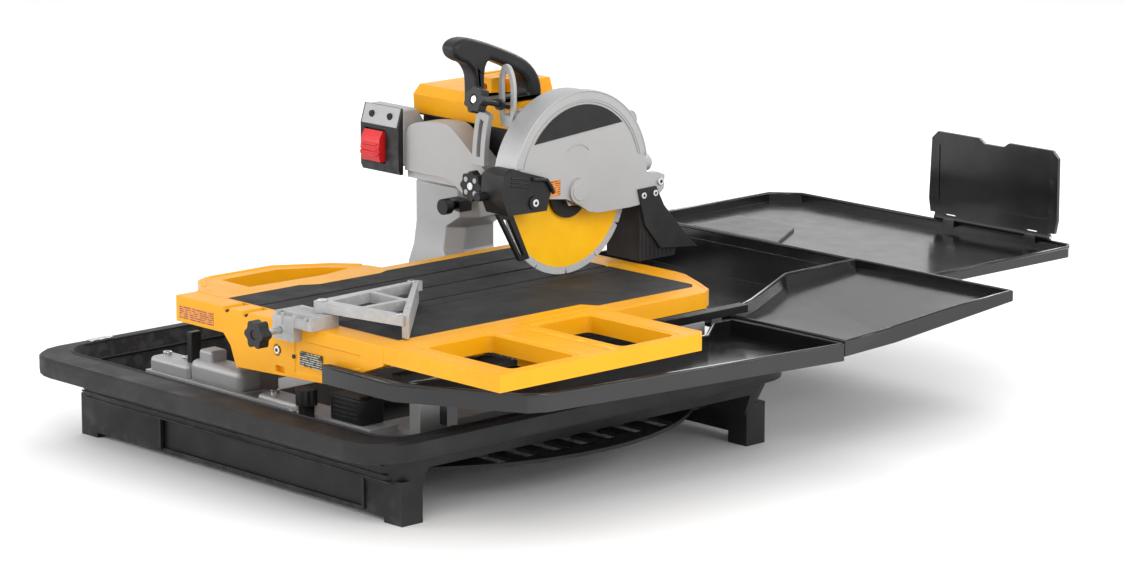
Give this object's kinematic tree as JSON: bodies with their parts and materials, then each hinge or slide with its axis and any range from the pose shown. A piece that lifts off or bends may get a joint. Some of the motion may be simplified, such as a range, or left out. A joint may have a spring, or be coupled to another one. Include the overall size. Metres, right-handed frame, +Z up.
{
  "type": "tile cutter",
  "caption": "Wet tile saw: water tub with side and rear trays, rolling cart with fence and angle guide, tilting and plunging saw head on a cast column",
  "frame": {"origin": "centre of the support pad under the tub, on the ground", "axes": "+X along the fence to the right, +Y away from the operator along the cart travel, +Z up"},
  "size_m": [1.029, 1.5, 0.6372],
  "materials": {
    "yellow_paint": "yellow paint over an aluminium casting",
    "tub_plastic": "fine moulded texture",
    "tray_plastic": "glossy",
    "cast_silver": "painted sand casting",
    "rail_dark": "dark track cover",
    "steel": "brushed",
    "rubber": "matt",
    "black_plastic": "satin",
    "red_plastic": "satin",
    "blade_steel": "lacquered body, bare rim",
    "motor_core": "bare",
    "post_casting": "painted sand casting"
  },
  "bodies": {
    "base": {"tub": "tub_plastic", "base_frame": "cast_silver", "rail_left": "rail_dark", "rail_right": "rail_dark", "column": "post_casting", "arm": "cast_silver", "lower_quadrant": "cast_silver", "water_pump": "black_plastic", "switch_box": "cast_silver", "switch_panel": "black_plastic", "bevel_pin": "steel"},
    "cart": {"cart_table": "yellow_paint", "cart_mat": "rubber", "fence": "yellow_paint"},
    "extension": {"extension_table": "yellow_paint", "extension_rod_front": "steel", "extension_rod_rear": "steel"},
    "roller_fl": {"roller_front_left": "rubber"},
    "roller_rl": {"roller_rear_left": "rubber"},
    "roller_fr": {"roller_front_right": "rubber"},
    "roller_rr": {"roller_rear_right": "rubber"},
    "guide": {"guide_clamp": "cast_silver"},
    "guide_swing": {"guide_arm": "cast_silver", "guide_pivot_bolt": "steel"},
    "guide_turn": {"guide_knob": "black_plastic", "guide_screw": "steel"},
    "tilt": {"yoke": "cast_silver", "plunge_pin": "steel"},
    "head": {"head_frame": "cast_silver", "motor_body": "black_plastic", "motor_cover": "yellow_paint", "handle": "black_plastic", "blade_guard": "cast_silver", "guard_badge": "black_plastic", "nozzle_block": "black_plastic", "nozzle_bar": "black_plastic", "rear_flap": "rubber", "rear_curtain": "rubber", "upper_quadrant": "cast_silver"},
    "lock": {"lock_knob": "black_plastic"},
    "bevel_lock": {"arm_knob": "black_plastic"},
    "post_lock": {"column_lock": "black_plastic"},
    "level": {"leveller_knob": "black_plastic"},
    "spindle": {"blade": "blade_steel", "flange_outer": "black_plastic", "flange_inner": "steel", "arbor": "steel", "arbor_nut": "steel"},
    "rotor": {"motor_rotor": "motor_core"},
    "paddle": {"switch_paddle": "red_plastic"},
    "tray_side": {"side_tray": "tray_plastic"},
    "tray_corner": {"corner_tray": "tray_plastic"},
    "tray_bridge": {"bridge_tray": "tray_plastic"},
    "tray_rear": {"rear_tray": "tray_plastic", "hinge_pin": "steel"},
    "splash": {"splash_board": "tray_plastic"},
    "drain": {"drain_plug": "rubber"}
  },
  "joints": [
    {"name": "cart_slide", "type": "slide", "parent": "base", "child": "cart", "axis": [0, 1, 0], "range_m": [0, 0.4]},
    {"name": "extension_slide", "type": "slide", "parent": "cart", "child": "extension", "axis": [1, 0, 0], "range_m": [0, 0.06]},
    {"name": "roller_front_left_roll", "type": "hinge", "parent": "cart", "child": "roller_fl", "pos_m": [-0.06, -0.25, 0.2223], "axis": [1, 0, 0], "continuous": true},
    {"name": "roller_rear_left_roll", "type": "hinge", "parent": "cart", "child": "roller_rl", "pos_m": [-0.06, -0.03, 0.2223], "axis": [1, 0, 0], "continuous": true},
    {"name": "roller_front_right_roll", "type": "hinge", "parent": "cart", "child": "roller_fr", "pos_m": [0.326, -0.25, 0.2223], "axis": [1, 0, 0], "continuous": true},
    {"name": "roller_rear_right_roll", "type": "hinge", "parent": "cart", "child": "roller_rr", "pos_m": [0.326, -0.03, 0.2223], "axis": [1, 0, 0], "continuous": true},
    {"name": "guide_slide", "type": "slide", "parent": "cart", "child": "guide", "axis": [1, 0, 0], "range_m": [0, 0.12]},
    {"name": "guide_pivot", "type": "hinge", "parent": "guide", "child": "guide_swing", "pos_m": [0.182, -0.352, 0.29], "axis": [0, 0, 1], "range_deg": [-45, 0]},
    {"name": "guide_knob_turn", "type": "hinge", "parent": "guide", "child": "guide_turn", "pos_m": [0.137, -0.42, 0.254], "axis": [0, 1, 0], "continuous": true},
    {"name": "bevel_tilt", "type": "hinge", "parent": "base", "child": "tilt", "pos_m": [0.155, 0.314, 0.417], "axis": [0, 1, 0], "range_deg": [0, 45]},
    {"name": "plunge", "type": "hinge", "parent": "tilt", "child": "head", "pos_m": [0.03, 0.4, 0.46], "axis": [-1, 0, 0], "range_deg": [0, 15]},
    {"name": "lock_knob_turn", "type": "hinge", "parent": "head", "child": "lock", "pos_m": [0.118, 0.01, 0.546], "axis": [0, 0.9659, -0.2588], "continuous": true},
    {"name": "bevel_knob_turn", "type": "hinge", "parent": "base", "child": "bevel_lock", "pos_m": [0.079, 0.05, 0.405], "axis": [0, 1, 0], "continuous": true},
    {"name": "column_lock_turn", "type": "hinge", "parent": "base", "child": "post_lock", "pos_m": [-0.198, 0.24, 0.309], "axis": [0, 1, 0], "range_deg": [-30, 30]},
    {"name": "leveller_turn", "type": "hinge", "parent": "base", "child": "level", "pos_m": [0.157, -0.364, 0.14], "axis": [0, 0, 1], "continuous": true},
    {"name": "blade_spin", "type": "hinge", "parent": "head", "child": "spindle", "pos_m": [0.155, 0.157, 0.3895], "axis": [1, 0, 0], "continuous": true},
    {"name": "rotor_spin", "type": "hinge", "parent": "head", "child": "rotor", "pos_m": [0, 0.165, 0.447], "axis": [1, 0, 0], "continuous": true},
    {"name": "switch_press", "type": "hinge", "parent": "base", "child": "paddle", "pos_m": [-0.165, 0.045, 0.456], "axis": [1, 0, 0], "range_deg": [-18, 0]},
    {"name": "side_tray_pull", "type": "slide", "parent": "base", "child": "tray_side", "axis": [1, 0, 0], "range_m": [0, 0.12]},
    {"name": "corner_tray_pull", "type": "slide", "parent": "base", "child": "tray_corner", "axis": [1, 0, 0], "range_m": [0, 0.12]},
    {"name": "bridge_tray_pull", "type": "slide", "parent": "base", "child": "tray_bridge", "axis": [0, 1, 0], "range_m": [0, 0.1]},
    {"name": "rear_tray_pull", "type": "slide", "parent": "tray_bridge", "child": "tray_rear", "axis": [0, 1, 0], "range_m": [0, 0.12]},
    {"name": "splash_fold", "type": "hinge", "parent": "tray_rear", "child": "splash", "pos_m": [0.25, 1.033, 0.232], "axis": [1, 0, 0], "range_deg": [0, 88]},
    {"name": "drain_plug_pull", "type": "slide", "parent": "base", "child": "drain", "axis": [0, 0, 1], "range_m": [0, 0.03]}
  ],
  "couplings": [
    {"joint": "roller_front_left_roll", "follows": "cart_slide", "rad_per_m": -83.333},
    {"joint": "roller_rear_left_roll", "follows": "cart_slide", "rad_per_m": -83.333},
    {"joint": "roller_front_right_roll", "follows": "cart_slide", "rad_per_m": -83.333},
    {"joint": "roller_rear_right_roll", "follows": "cart_slide", "rad_per_m": -83.333},
    {"joint": "rotor_spin", "follows": "blade_spin", "ratio": -2.6}
  ]
}
